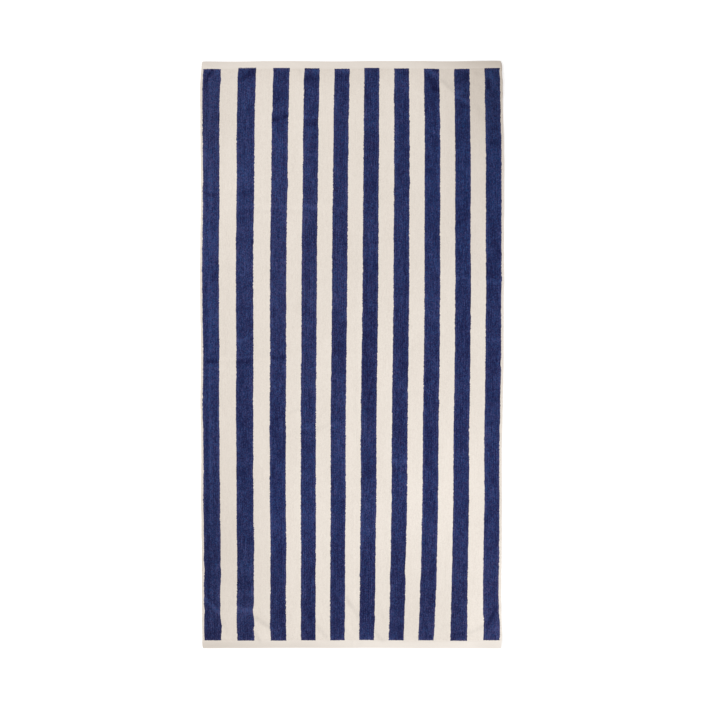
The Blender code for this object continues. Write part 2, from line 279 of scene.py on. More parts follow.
# Creases pressed into the pile, and spots of painted sheen and shade on it, in mm. Each is a line that
# sinks by its depth over its width. navy and cream are how much lighter (below 0, darker) the pile is
# painted there: painted sheen and shade on the navy pile, painted shade and light on the cream. The
# lines are read off the photo, and their tones tuned to it.
creases = (
    # x1, y1, x2, y2, depth, width, navy, cream
    # storage fold, upper
    (-344, 445, -296, 446, 0.5, 11, 1.0, 0.4),
    (-344, 428, -296, 430, 0.3, 13, -0.5, 0),
    (-293, 446, -239, 445, 0.4, 12, 0, 0.25),
    (-293, 429, -149, 429, 0.4, 12, -0.5, -0.6),
    (-239, 445, -197, 443, 0.4, 11, 0.9, 0.3),
    (-194, 442, -149, 443, 0.3, 11, 0, 0.25),
    (-147, 446, -104, 440, 0.5, 12, 3.3, 0.3),
    (-101, 438, -56, 447, 0.3, 11, 0.3, 0.4),
    (-56, 451, -20, 448, 0.2, 16, -0.6, 0.1),
    (-20, 448, 295, 445, 0.2, 12, 0.25, 0.1),
    # storage fold, middle
    (-443, 22, -401, 19, 0, 34, -0.1, 0),
    (-440, -20, -401, -20, 0.6, 13, -2.9, 0),
    (-398, 0, -347, 1, 0.2, 7, 0, -0.35),
    (-398, -11, -347, -10, 0.3, 7, 0.3, 0.6),
    (-398, -22, -347, -21, 0.4, 8, -0.6, -0.4),
    (-344, -7, -299, -6, 0.3, 9, 1.7, 0.3),
    (-344, -20, -296, -19, 0.5, 9, -1.1, -0.2),
    (-290, -3, -245, -2, 0.3, 8, 0.2, -0.4),
    (-290, -13, -245, -13, 0, 7, 0, 0.4),
    (-243, 34, -212, 10, 0.1, 8, 0.5, 0),
    (-203, -32, -201, -62, 0, 8, 1.7, 0),
    (-239, -68, -236, -101, 0, 9, 1, 0),
    (-239, -8, -203, -8, 0.5, 11, -1.7, -0.2),
    (-197, -5, 61, -5, 0.2, 12, 0.2, 0.15),
    (-345, 43, -317, 46, 0, 9, 3.6, 0),
    (-341, 70, -317, 73, 0, 16, 0.3, 0),
    # line under the top
    (-293, 700, -230, 718, 0.3, 10, 0.2, 0.3),
    (-236, 705, -215, 710, 0.5, 11, -2.6, 0),
    (-215, 710, -191, 717, 0.5, 11, -2.6, 0),
    (-191, 707, -146, 715, 0.3, 10, 0.3, -0.3),
    (-191, 697, -146, 700, 0.3, 10, 0, 0.3),
    (-146, 713, -110, 713, 0.3, 13, 1.8, 0.2),
    (-143, 694, -107, 695, 0.4, 17, -1.3, 0),
    (-143, 600, -110, 600, 0.2, 13, 0.7, 0),
    (37, 604, 79, 604, 0.2, 13, 0.2, 0),
    # top left
    (-440, 815, -419, 855, 0.4, 10, -2.3, -0.3),
    (-437, 814, -398, 857, 0, 10, 0.6, 0),
    (-341, 821, -296, 844, 0.5, 20, -1.8, -0.1),
    (-335, 832, -293, 850, 0, 10, 0.5, 0),
    (-140, 851, -98, 851, 0, 9, 1.8, 0),
    (-140, 829, -101, 830, 0.2, 18, -1.5, 0),
    (-50, 850, -8, 850, 0, 8, 0.9, 0),
    (-47, 830, -11, 832, 0.1, 16, -0.9, 0),
    (-443, 877, -419, 865, 0.3, 10, 0, -0.6),
    (-431, 883, -413, 862, 0.2, 9, 0, 0.1),
    # top right arc
    (228, 854, 262, 834, 0.6, 10, 1.9, 0.2),
    (246, 855, 265, 848, 0, 9, -3.6, 0),
    (223, 832, 256, 811, 0.3, 12, -1.3, 0),
    (246, 801, 262, 793, 0.2, 12, -3.9, 0),
    (267, 825, 309, 787, 0.6, 12, 0.2, -2.3),
    (301, 784, 319, 778, 0.3, 12, 0.5, 0.2),
    (309, 777, 357, 750, 0.6, 9, 2.9, 0),
    (314, 788, 330, 786, 0, 14, 2.6, 0),
    (315, 754, 351, 739, 0.3, 13, -0.9, 0),
    (336, 836, 352, 823, 0.3, 17, -1.6, 0),
    (331, 840, 334, 806, 0, 34, -0.8, 0),
    (319, 808, 343, 799, 0.2, 15, 0.9, 0),
    (310, 808, 343, 808, 0, 12, 0.5, 0),
    (358, 766, 400, 716, 0.4, 12, 0, -0.45),
    (369, 775, 403, 739, 0, 14, 0, 0.1),
    (373, 844, 397, 838, 0.2, 14, 0, -1),
    (407, 822, 410, 801, 0.2, 10, -4.6, 0),
    (411, 848, 428, 816, 0, 9, 2.3, 0),
    (439, 824, 440, 800, 0, 9, -1.8, 0),
    (412, 674, 439, 674, 0, 14, -1, 0),
    (412, 637, 439, 637, 0, 13, -1.2, 0),
    (412, 769, 436, 760, 0, 12, 0.8, 0),
    (231, 679, 259, 661, 0.2, 10, 0.9, 0),
    (237, 656, 258, 643, 0.2, 11, -1.1, 0),
    # stripes 1 and 2, patches
    (-437, 484, -419, 481, 0, 14, -1.5, 0),
    (-422, 472, -420, 454, 0, 8, 1.4, 0),
    (-326, 487, -305, 487, 0, 19, -0.7, 0),
    # marks on the right, above the middle
    (315, 229, 345, 229, 0.2, 12, 2.1, 0),
    (406, 250, 442, 250, 0, 22, -0.5, 0),
    (406, 220, 442, 220, 0.3, 11, 1.5, 0),
    (409, 46, 439, 46, 0.2, 14, 1.3, 0),
    (241, 68, 265, 68, 0.2, 11, 0.8, 0),
    # marks on the left, below the middle
    (-237, -202, -195, -166, 0.3, 10, -1.1, -0.2),
    (-188, -174, -155, -160, 0.3, 10, 0, -0.8),
    (-140, -146, -116, -121, 0.3, 9, -0.8, 0),
    (-108, -125, -71, -113, 0.2, 10, 0, 0.1),
    (-150, -222, -107, -222, 0.3, 10, 1.6, 0),
    (-146, -238, -110, -238, 0.2, 14, -1, 0),
    (-102, -220, -68, -213, 0.3, 12, 0, -0.8),
    (-65, -213, -38, -211, 0.3, 10, 2.8, 0),
    (-440, -95, -422, -95, 0, 17, -0.7, 0),
    # stripes 6 and 7
    (34, -359, 49, -359, 0, 24, -0.7, 0),
    (34, -383, 70, -371, 0.2, 9, 0.6, 0),
    (124, -319, 156, -320, 0.2, 17, 2, 0),
    (127, -353, 166, -353, 0, 36, -0.3, 0),
    (127, -413, 160, -413, 0, 13, -1.2, 0),
    # storage fold, lower
    (-62, -440, -23, -439, 0.2, 10, -1.2, 0),
    (-20, -446, 145, -452, 0.15, 10, 0.15, 0.1),
    # bottom left
    (-441, -730, -387, -784, 0.7, 10, 3.2, 0),
    (-387, -800, -371, -842, 0.4, 11, -0.5, -1.1),
    (-344, -760, -296, -770, 0.5, 15, 2.6, 0),
    (-338, -713, -302, -716, 0.1, 22, 1.1, 0),
    (-335, -682, -299, -682, 0.1, 26, -1, 0),
    (-341, -635, -311, -647, 0, 26, 0.3, 0),
    (-332, -812, -305, -818, 0, 28, -0.7, 0),
    (-291, -787, -245, -819, 0.7, 12, 0.5, -3),
    (-293, -830, -276, -857, 0.5, 11, 0.2, -2.1),
    (-242, -821, -227, -833, 0.3, 12, 1.5, 0),
    (-209, -809, -186, -851, 0.4, 10, -0.9, -0.4),
    # bottom centre
    (-105, -811, -77, -845, 0.6, 11, 0, -1.8),
    (-20, -728, 1, -757, 0.7, 13, 0.2, -2.6),
    (1, -757, 21, -788, 0.6, 12, 0, -1.8),
    (-41, -781, -14, -799, 0, 12, 0.8, 0),
    (-12, -800, -2, -839, 0.3, 12, -0.4, 0.8),
    (13, -824, 28, -863, 0.4, 11, 0, -0.5),
    (66, -824, 91, -857, 0.6, 12, 0, -1.8),
    (79, -770, 112, -793, 0.2, 12, 0, -0.5),
    # bottom right
    (256, -823, 301, -806, 0.2, 14, 0, -0.5),
    (304, -841, 343, -832, 0.5, 10, -1.2, -0.6),
    (351, -834, 397, -812, 0.6, 11, 0, -1.7),
    (385, -816, 405, -811, 0.6, 11, 0, -1.7),
    (404, -815, 415, -794, 0.6, 10, -2.4, 0),
    (415, -794, 431, -758, 0.5, 10, -2.9, 0),
    (403, -846, 438, -813, 0.2, 9, 1.3, 0),
    (210, -818, 223, -818, 0, 14, -1.2, 0),
    # centre fold, down the whole length
    (-6, 883, -5, 199, 0.12, 7, 0.3, -0.05),
    (13, 883, 15, 583, 0.12, 7, 0.2, 0.2),
    (13, 373, 13, -197, 0.12, 7, 0.3, -0.3),
    (21, 373, 20, -197, 0, 7, 0, 0.35),
    (-2, -167, -2, -437, 0, 6, 0.2, 0.35),
    (2, -437, -1, -875, 0.12, 7, 0.3, -0.4),
    (9, -197, 7, -875, 0, 7, 0.2, 0.55),
    # left stripe, lines down its whole length
    (-427, 883, -427, 73, 0, 7, 0.9, 0),
    (-427, 73, -421, -845, 0, 7, 1.1, 0),
    (-436, 883, -435, 43, 0, 9, -0.8, 0),
    (-435, 43, -435, -437, 0, 9, -0.8, 0),
    (-435, -437, -431, -845, 0, 9, -0.7, 0),
)


# Painted light and shade: broad soft patches where the cloth is painted darker (below 0) or lighter, as
# the light falls off from its lower right to its upper right corner, and darker rims along the ends and
# the upper right edge where the cloth turns down. These tones, and those of the two tables below, are
# fitted to the photo and rounded.
paintedShadingPatches = (
    # x, y, reach across, reach along, tone
    (460, 900, 330, 420, -0.23),
    (430, 560, 260, 560, -0.075),
    (-480, -620, 360, 620, -0.125),
    (0, -900, 620, 220, 0.03),
    (0, 905, 560, 140, -0.105),
    (-280, 480, 380, 560, 0.02),
    (120, -60, 420, 420, 0.06),
    (330, -450, 340, 420, 0.12),
    (-500, 820, 300, 420, -0.09),
    (-500, 0, 300, 520, -0.04),
    (500, -820, 300, 420, 0.16),
    (500, 0, 300, 520, 0.05),
    (0, -500, 420, 420, 0.065),
    (-440, 885, 110, 36, -0.06),
    (-330, 885, 110, 36, -0.04),
    (210, 885, 110, 36, -0.05),
    (305, 885, 110, 36, -0.06),
    (400, 885, 110, 36, -0.08),
    (450, 885, 60, 36, -0.06),
    (450, 858, 8, 50, -0.20),
    (453, 796, 8, 70, -0.26),
    (456, 690, 7, 110, -0.12),
    (-400, -885, 230, 36, -0.10),
    (-400, -868, 230, 24, -0.09),
    (-170, -885, 230, 36, -0.10),
    (-170, -868, 230, 24, -0.07),
    (10, -885, 120, 36, -0.04),
    (415, -885, 90, 36, -0.07),
    (420, -868, 80, 24, -0.08),
)


# Painted sheen and shade for the navy pile alone: where it shows lighter or darker as the light falls on
# its leaning pile, more than on the cream
navyShadingPatches = (
    (-424, 460, 90, 760, 0.66),
    (-424, -190, 80, 180, -0.14),
    (-424, 110, 80, 150, 0.26),
    (-318, 590, 90, 300, 0.34),
    (-325, -430, 90, 220, -0.28),
    (-320, -790, 80, 110, 0.35),
    (-215, 420, 90, 640, 0.42),
    (-222, -420, 80, 200, 0.26),
    (-222, -670, 80, 190, -0.52),
    (-128, 700, 80, 230, -0.60),
    (-128, 190, 80, 300, 0.32),
    (-128, -70, 90, 200, 0.42),
    (-130, -450, 80, 130, 0.30),
    (-38, 740, 80, 180, -0.44),
    (-36, 280, 80, 130, 0.60),
    (-38, 30, 80, 170, -0.42),
    (-38, -210, 90, 230, 0.32),
    (-20, -690, 110, 190, -0.40),
    (52, 720, 80, 180, -0.18),
    (52, 130, 90, 560, -0.40),
    (55, -525, 90, 140, 0.44),
    (56, -780, 90, 140, -0.82),
    (146, 0, 80, 130, -0.24),
    (150, -620, 100, 120, -0.16),
    (236, 800, 160, 150, -0.10),
    (236, 360, 80, 210, -0.32),
    (236, -700, 80, 200, -0.54),
    (236, -105, 80, 100, 0.24),
    (330, 110, 90, 290, -0.62),
    (330, -350, 80, 330, -0.44),
    (146, -260, 80, 130, -0.24),
    (146, -430, 80, 110, 0.40),
    (424, -140, 80, 110, -0.26),
    (-411, -822, 46, 88, -0.64),
    (-145, -682, 26, 74, 0.46),
    (-402, 838, 22, 42, 0.34),
    (434, -828, 38, 46, 0.42),
    (52, -125, 80, 100, -0.44),
    (52, 490, 70, 100, -0.30),
    (52, 195, 70, 90, 0.28),
    (424, 330, 90, 320, -0.18),
    (-318, 862, 70, 50, -0.22),
    (146, 866, 60, 54, -0.30),
    (238, 862, 60, 50, 0.32),
    (428, 862, 70, 56, -0.26),
)

# Where the navy has a warmer cast (above 0) or a cooler one (below)
warmPatches = (
    (400, 560, 360, 640, -0.185),
    (-140, 250, 280, 460, 0.13),
    (-440, 690, 150, 400, 0.13),
    (60, -120, 330, 420, 0.055),
    (40, -760, 900, 460, 0.07),
    (430, -820, 340, 420, 0.13),
    (-420, -860, 420, 190, 0.10),
    (-220, -470, 180, 270, -0.08),
    (-440, 20, 150, 300, -0.06),
)


# Where the edge of a stripe steps aside, in mm: a spot on the edge, its reach and the step.
# They are measured as what was left between the photo and a render without them.
edgeSteps = (
    # x, y, reach across, reach along, step to the right
    (-341, 832, 16, 26, -1.8),
    (-392, 824, 16, 18, 1.8),
    (-142, 823, 16, 44, -2.3),
    (128, 775, 16, 36, -1.6),
    (-236, 736, 16, 20, 2.0),
    (-145, 650, 16, 70, -1.5),
    (175, 521, 16, 30, 2.0),
    (-191, 516, 16, 28, 2.3),
    (-447, 486, 16, 42, -2.6),
    (-57, 439, 16, 20, -1.9),
    (-397, 416, 16, 34, 1.6),
    (358, 109, 16, 26, 2.0),
    (262, -145, 16, 24, 2.0),
    (-246, -221, 16, 24, -2.1),
    (-296, -350, 16, 46, -1.6),
    (75, -386, 16, 22, 2.4),
    (-295, -494, 16, 50, -1.7),
    (-344, -515, 16, 110, -1.2),
    (161, -634, 16, 58, -3.2),
    (-441, -642, 16, 38, 2.0),
    (116, -662, 16, 40, -2.1),
    (-392, -666, 16, 46, 2.0),
    (206, -695, 16, 36, -1.9),
    (-242, -700, 16, 28, 2.3),
    (-440, -767, 16, 20, 2.1),
    (-295, -768, 16, 26, -2.6),
    (23, -779, 16, 16, -2.1),
    (70, -790, 16, 20, 1.8),
    (398, -795, 16, 24, 2.0),
    (-344, -800, 16, 60, -1.6),
    (-245, -813, 16, 22, -2.9),
    (-391, -815, 16, 35, 3.5),
    (-293, -825, 14, 13, -2.6),
    (444, -815, 16, 52, 2.3),
    (245, -852, 16, 16, -2.2),
)


def patchTone(patches, x, y):
    x, y = x / mm, y / mm
    tone = np.zeros_like(x)
    for middleX, middleY, reachX, reachY, strength in patches:
        tone = tone + strength * bump(np.hypot((x - middleX) / reachX, (y - middleY) / reachY))
    return tone


def alongLine(x, y, x1, y1, x2, y2):
    # distance of points from a line, and how far along it they are
    runX, runY = x2 - x1, y2 - y1
    part = np.clip(((x - x1) * runX + (y - y1) * runY) / (runX ** 2 + runY ** 2), 0, 1)
    return np.hypot(x - x1 - part * runX, y - y1 - part * runY), part


def liftOf(x, y):
    # height of the underside over the floor
    x, y = x / mm, y / mm
    crestLift = np.zeros_like(x)
    for x1, y1, rise1, x2, y2, rise2, reach in crests:
        distance, part = alongLine(x, y, x1, y1, x2, y2)
        height = (rise1 + (rise2 - rise1) * part) * bump(distance / reach)
        crestLift = np.maximum(crestLift, height)
    for middleX, middleY, height, reachX, reachY in swells:
        distance = np.hypot((x - middleX) / reachX, (y - middleY) / reachY)
        crestLift = crestLift + height * bump(distance)
    return crestLift * mm


def creaseDepthAndShading(x, y):
    # how deep the pressed creases are, and the painted light and shade they lay on the pile: painted
    # sheen and shade on the navy, painted shade and light on the cream
    x, y = x / mm, y / mm
    sunk, onNavy, onCream = np.zeros_like(x), np.zeros_like(x), np.zeros_like(x)
    uneven = 0.9 + 0.3 * softNoise(x, y, 14, 17, 31)    # how strong a crease is from place to place
    bend = 1.8 * softNoise(x, y, 26, 31, 32)    # how far it strays from its line
    for x1, y1, x2, y2, depth, width, navy, cream in creases:
        distance, part = alongLine(x + bend, y + bend, x1, y1, x2, y2)
        line = np.exp(-((distance / (0.5 * width)) ** 2)) * uneven
        sunk = np.maximum(sunk, depth * line)
        onNavy = np.where(np.abs(navy * line) > np.abs(onNavy), navy * line, onNavy)
        onCream = np.where(np.abs(cream * line) > np.abs(onCream), cream * line, onCream)
    return sunk * mm, onNavy, onCream


def placeOf(woven, along):
    # where a point of the cloth lies, from its thread across and its place along
    stations = np.array(sorted(laidPlaces)) * mm
    laid = np.array([laidPlaces[key] for key in sorted(laidPlaces)]) * mm
    threads = [throughPoints(along, stations, laid[:, column]) for column in range(len(wovenPlaces))]
    x = np.zeros_like(woven)
    places = np.array(wovenPlaces) * mm
    for column in range(len(places) - 1):
        part = (woven - places[column]) / (places[column + 1] - places[column])
        between = threads[column] + (threads[column + 1] - threads[column]) * part
        here = (woven >= places[column]) if column else np.ones_like(woven, bool)
        x = np.where(here, between, x)
    ends = np.array(sorted(endLines)) * mm
    halves = np.array([endLines[key] for key in sorted(endLines)]) * mm
    reachTop = throughPoints(x, ends, halves[:, 0]) - towel["length"] / 2
    reachBottom = towel["length"] / 2 - throughPoints(x, ends, halves[:, 1])
    atEnd = rise(np.abs(along), *towel["endsBend"])
    y = along + atEnd * np.where(along > 0, reachTop, reachBottom)
    # the side edges waver a little, most where only the narrow hem holds them
    nearSide = 1 - rise(sideDistance(woven), 0, towel["nearSide"])
    for amount, cell, seed in sideWavers:
        x = x + nearSide * amount * mm * softNoise(along, x, cell * mm, 400 * mm, seed)
    return x, y


def sideDistance(woven):
    return np.minimum(woven - wovenPlaces[0] * mm, wovenPlaces[-1] * mm - woven)


def endDistance(along):
    return towel["length"] / 2 - np.abs(along)


# The relief of pile and hems, in mm
relief = {
    # height, cell across, cell along, seed
    "clumps": ((0.16, 7, 11, 11), (0.16, 17, 26, 12), (0.20, 46, 60, 13)),
    "rows": (0.08, 4.6, 90, 14),
    "hemWaves": (0.14, 9, 7, 16),
    # the hem puckers along its seam, and its fold is a little fatter than its middle
    "puckerWave": 1.45,
    "puckerDrift": (2.5, 19, 50, 15),
    "hemSeamWidth": 1.5,
    "hemSeamDip": 0.22,
    "puckerDip": 0.08,
    "foldFromEnd": 5,
    "foldWidth": 6,
    "foldRise": 0.22,
    "sideSeamWidth": 1.1,
    "sideSeamDip": 0.35,
    "sideSeamStart": (4, 12),    # from the end
}


def hills(x, y, height, cellX, cellY, seed):
    return height * softNoise(x, y, cellX * mm, cellY * mm, seed)


def ridge(distance, width):
    return np.exp(-((distance / width) ** 2))


def thicknessOf(woven, along, x, y):
    # flat woven hems and turned sides, and the pile with its clumps and rows between them
    side, end = sideDistance(woven), endDistance(along)
    outer, inner = towel["sideStep"]
    pile = rise(side, towel["sideHem"] - outer, towel["sideHem"] + inner)
    outer, inner = towel["hemStep"]
    pile = pile * rise(end, towel["hemDepth"] - outer, towel["hemDepth"] + inner)
    flat = np.where(end < towel["hemDepth"], towel["hemThick"], towel["sideThick"])
    height = flat + (towel["pileThick"] - flat) * pile

    clumps = sum(hills(x, y, *clump) for clump in relief["clumps"])
    rows = hills(woven, along, *relief["rows"])
    height = height + pile * (clumps + rows) * mm

    pucker = np.sin(woven / (relief["puckerWave"] * mm) + hills(woven, along, *relief["puckerDrift"]))
    seam = ridge(end - towel["hemSeam"], relief["hemSeamWidth"] * mm)
    height = height - seam * (relief["hemSeamDip"] + relief["puckerDip"] * pucker) * mm
    fold = ridge(end - relief["foldFromEnd"] * mm, relief["foldWidth"] * mm)
    height = height + fold * relief["foldRise"] * mm
    height = height + (1 - pile) * mm * hills(woven, along, *relief["hemWaves"])
    start, full = relief["sideSeamStart"]
    sideSeam = ridge(side - towel["sideSeam"], relief["sideSeamWidth"] * mm)
    sideSeam = sideSeam * rise(end, start * mm, full * mm)
    return height - sideSeam * relief["sideSeamDip"] * mm


def upperFace(woven, along):
    # points on top of the cloth, and the height of the underside below them
    x, y = placeOf(woven, along)
    lift = liftOf(x, y)
    # creases are shallower in the hems
    inHem = 1 - rise(endDistance(along), 15 * mm, 26 * mm)
    sunk = creaseDepthAndShading(x, y)[0] * (1 - 0.6 * inHem)
    return x, y, lift + thicknessOf(woven, along, x, y) - sunk, lift


def clothLines(low, high, closeLines):
    # even mesh lines with closer ones along both edges, in a number the underside can skip through
    edge = np.cumsum([0.0] + list(closeLines)) * mm
    cells = round((high - low - 2 * edge[-1]) / towel["pitch"])
    cells += -(cells + 2 * len(closeLines)) % towel["underSkip"]
    middle = np.linspace(low + edge[-1], high - edge[-1], cells + 1)
    return np.concatenate([low + edge[:-1], middle, high - edge[:-1][::-1]])


def weaveTowel():
    inset = towel["edgeRound"]
    half = towel["length"] / 2
    across = clothLines(wovenPlaces[0] * mm + inset, wovenPlaces[-1] * mm - inset, sideLines)
    along = clothLines(-half + inset, half - inset, hemLines)
    columns, rows = len(across), len(along)
    woven, length = np.meshgrid(across, along, indexing="ij")
    woven, length = woven.ravel(), length.ravel()
    x, y, z, lift = upperFace(woven, length)

    def node(i, j):
        return i * rows + j

    i, j = np.meshgrid(np.arange(columns - 1), np.arange(rows - 1), indexing="ij")
    first = node(i, j).ravel()
    faces = np.stack([first, first + rows, first + rows + 1, first + 1], 1).tolist()

    # the rim goes round the edge of the upper face, out over the fold and in again underneath
    loop = [(i, 0) for i in range(columns - 1)] + [(columns - 1, j) for j in range(rows - 1)]
    loop += [(i, rows - 1) for i in range(columns - 1, 0, -1)] + [(0, j) for j in range(rows - 1, 0, -1)]
    rim = np.array([node(i, j) for i, j in loop])
    outX = np.array([(i == columns - 1) - (i == 0) for i, j in loop], float)
    outY = np.array([(j == rows - 1) - (j == 0) for i, j in loop], float)
    corner = np.hypot(outX, outY)
    outX, outY = outX / corner, outY / corner
    points = [np.stack([x, y, z], 1)]
    cloth = [np.stack([woven, length], 1)]
    ringStarts = [rim]
    count = len(x)
    for out, up in edgeRounds:
        ringZ = lift[rim] + (z[rim] - lift[rim]) * up
        points.append(np.stack([x[rim] + outX * out * inset, y[rim] + outY * out * inset, ringZ], 1))
        cloth.append(np.stack([woven[rim] + outX * out * inset, length[rim] + outY * out * inset], 1))
        ringStarts.append(np.arange(count, count + len(rim)))
        count += len(rim)
    for upper, lower in zip(ringStarts, ringStarts[1:]):
        nextUpper, nextLower = np.roll(upper, -1), np.roll(lower, -1)
        faces += np.stack([upper, lower, nextLower, nextUpper], 1).tolist()

    # the underside keeps one mesh line in a few
    skip = towel["underSkip"]
    rimAt = {place: ringStarts[-1][k] for k, place in enumerate(loop)}
    inner = [(i, j) for i in range(skip, columns - 1, skip) for j in range(skip, rows - 1, skip)]
    keep = np.array([node(i, j) for i, j in inner])
    rimAt.update({place: count + k for k, place in enumerate(inner)})
    points.append(np.stack([x[keep], y[keep], lift[keep]], 1))
    cloth.append(np.stack([woven[keep], length[keep]], 1))
    firstUnder = len(faces)
    for i in range(0, columns - 1, skip):
        for j in range(0, rows - 1, skip):
            walk = [(i + k, j) for k in range(skip)]
            walk += [(i + skip, j + k) for k in range(skip)]
            walk += [(i + skip - k, j + skip) for k in range(skip)]
            walk += [(i, j + skip - k) for k in range(skip)]
            faces.append([rimAt[place] for place in walk if place in rimAt][::-1])

    points, cloth = np.concatenate(points), np.concatenate(cloth)
    mesh = bpy.data.meshes.new("towel")
    mesh.from_pydata(points.tolist(), [], faces)
    mesh.polygons.foreach_set("use_smooth", np.ones(len(faces), bool))
    paintMaps(mesh, cloth, firstUnder)
    sunk, onNavy, onCream = creaseDepthAndShading(points[:, 0], points[:, 1])
    # the painted light and shade of the patches and of the creases go onto the mesh here as well
    tones = {
        "navyCrease": onNavy,
        "creamCrease": onCream,
        "nap": patchTone(paintedShadingPatches, points[:, 0], points[:, 1]),
        "lean": patchTone(navyShadingPatches, points[:, 0], points[:, 1]),
        "warm": patchTone(warmPatches, points[:, 0], points[:, 1]),
        "edgeStep": patchTone(edgeSteps, points[:, 0], points[:, 1]) * mm,
    }
    for name, values in tones.items():
        values = np.where(np.arange(len(points)) < count, values, 0.0)
        mesh.attributes.new(name, "FLOAT", "POINT").data.foreach_set("value", values)
    mesh.update()
    piece = bpy.data.objects.new("towelCloth", mesh)
    bpy.context.scene.collection.objects.link(piece)
    return piece


def paintMaps(mesh, cloth, firstUnder):
    # weave holds the place on the cloth in metres; the bake map lays both faces side by side
    corners = np.zeros(len(mesh.loops), int)
    mesh.loops.foreach_get("vertex_index", corners)
    starts = np.zeros(len(mesh.polygons), int)
    mesh.polygons.foreach_get("loop_start", starts)
    under = np.arange(len(corners)) >= starts[firstUnder]
    place = cloth[corners]
    weave = mesh.uv_layers.new(name="weave")
    weave.uv.foreach_set("vector", place.astype(np.float32).ravel())
    halfWidth, halfLength = 456 * mm, towel["length"] / 2    # a little past the side threads
    margin = 0.006
    part = np.stack([(place[:, 0] / halfWidth + 1) / 2, (place[:, 1] / halfLength + 1) / 2], 1)
    part = margin + (1 - 2 * margin) * np.clip(part, 0, 1)
    part[:, 0] = part[:, 0] / 2 + 0.5 * under
    baked = mesh.uv_layers.new(name="OFBake")
    baked.uv.foreach_set("vector", part.astype(np.float32).ravel())


class Wire:
    # a value on its way through a material's nodes
    def __init__(self, finish, socket):
        self.finish = finish
        self.socket = socket

    def __add__(self, other):
        return self.finish.maths("ADD", self, other)

    __radd__ = __add__

    def __sub__(self, other):
        return self.finish.maths("SUBTRACT", self, other)

    def __rsub__(self, other):
        return self.finish.maths("SUBTRACT", other, self)

    def __mul__(self, other):
        return self.finish.maths("MULTIPLY", self, other)

    __rmul__ = __mul__

    def __truediv__(self, other):
        return self.finish.maths("DIVIDE", self, other)

    def __abs__(self):
        return self.finish.maths("ABSOLUTE", self)


class Finish:
    # a material and the ways to add nodes to it
    def __init__(self, name):
        self.material = bpy.data.materials.new(name)
        self.material.use_nodes = True
        self.tree = self.material.node_tree
        self.tree.nodes.clear()

    def node(self, kind, settings=None, sockets=None, out=0):
        made = self.tree.nodes.new(kind)
        for name, value in (settings or {}).items():
            if name == "stops":
                self.setStops(made.color_ramp, value)
            else:
                setattr(made, name, value)
        for name, value in (sockets or {}).items():
            if isinstance(value, Wire):
                self.tree.links.new(value.socket, made.inputs[name])
            else:
                made.inputs[name].default_value = value
        return Wire(self, made.outputs[out]) if made.outputs else None

    def setStops(self, ramp, stops):
        while len(ramp.elements) < len(stops):
            ramp.elements.new(0.5)
        for element, (place, colour) in zip(ramp.elements, stops):
            element.position = place
            element.color = colour

    def maths(self, operation, *values):
        return self.node("ShaderNodeMath", {"operation": operation}, dict(enumerate(values)))

    def between(self, value, low, high, lowOut=0.0, highOut=1.0):
        ends = {"Value": value, "From Min": low, "From Max": high, "To Min": lowOut, "To Max": highOut}
        return self.node("ShaderNodeMapRange", {"interpolation_type": "SMOOTHSTEP"}, ends)

    def blend(self, factor, first, second, way="MIX"):
        settings = {"data_type": "RGBA", "blend_type": way}
        return self.node("ShaderNodeMix", settings, {0: factor, 6: first, 7: second}, out=2)

    def place(self, x, y, z):
        return self.node("ShaderNodeCombineXYZ", None, {0: x, 1: y, 2: z})

    def tint(self, red, green, blue):
        return self.node("ShaderNodeCombineColor", None, {0: red, 1: green, 2: blue})

    def grain(self, across, along, sizeAcross, sizeAlong, seed):
        # noise from about -1 to 1, its grains of one size across and another along
        place = self.place(across / sizeAcross, along / sizeAlong, seed)
        noise = self.node("ShaderNodeTexNoise", None, {"Vector": place, "Scale": 1.0, "Detail": 1.0})
        return noise * 3.0 - 1.5

    def tufts(self, across, along, sizeAcross, sizeAlong, seed):
        # one even value from -1 to 1 for each tuft of pile
        place = self.place(across / sizeAcross, along / sizeAlong, seed)
        cells = self.node("ShaderNodeTexVoronoi", None, {"Vector": place, "Scale": 1.0}, out=1)
        return self.node("ShaderNodeSeparateColor", None, {0: cells}) * 2.0 - 1.0

    def wave(self, along, pitch, drift=0.0):
        return self.maths("SINE", along * (2 * math.pi / pitch) + drift)

    def tone(self, name):
        # a value that the mesh carries from point to point
        return self.node("ShaderNodeAttribute", {"attribute_name": name}, None, out=2)

    def cover(self, surface):
        self.node("ShaderNodeOutputMaterial", None, {"Surface": surface})
        return self.material


# The stripes as woven, in mm, measured on the photo
stripes = {
    # left edge: width, upper end, lower end
    -447.0: (49.1, 857.8, -856.7),
    -346.1: (50.9, 861.3, -857.6),
    -244.0: (47.3, 860.1, -858.0),
    -150.4: (44.2, 859.3, -857.5),
    -60.2: (44.1, 858.3, -856.8),
    30.2: (45.1, 859.9, -856.5),
    122.0: (45.0, 858.3, -857.2),
    213.5: (45.9, 857.0, -856.7),
    306.1: (46.1, 857.5, -857.9),
    399.2: (45.7, 858.6, -856.1),
}
yarn = {
    # navy pile from its deep gaps to its lit tips
    "navyDeep": (0.0012, 0.0026, 0.0405, 1.0),
    "navy": (0.0130, 0.0200, 0.0880, 1.0),
    "navyTips": (0.0393, 0.0600, 0.1865, 1.0),
    "creamDeep": (0.576, 0.509, 0.446, 1.0),
    "cream": (0.772, 0.702, 0.631, 1.0),
    "creamTips": (0.874, 0.812, 0.746, 1.0),
    "hemCream": (0.795, 0.733, 0.671, 1.0),
    "roughness": 0.85,
    "gloss": 0.15,
    "sheen": 0.08,
    "sheenRoughness": 0.5,
}
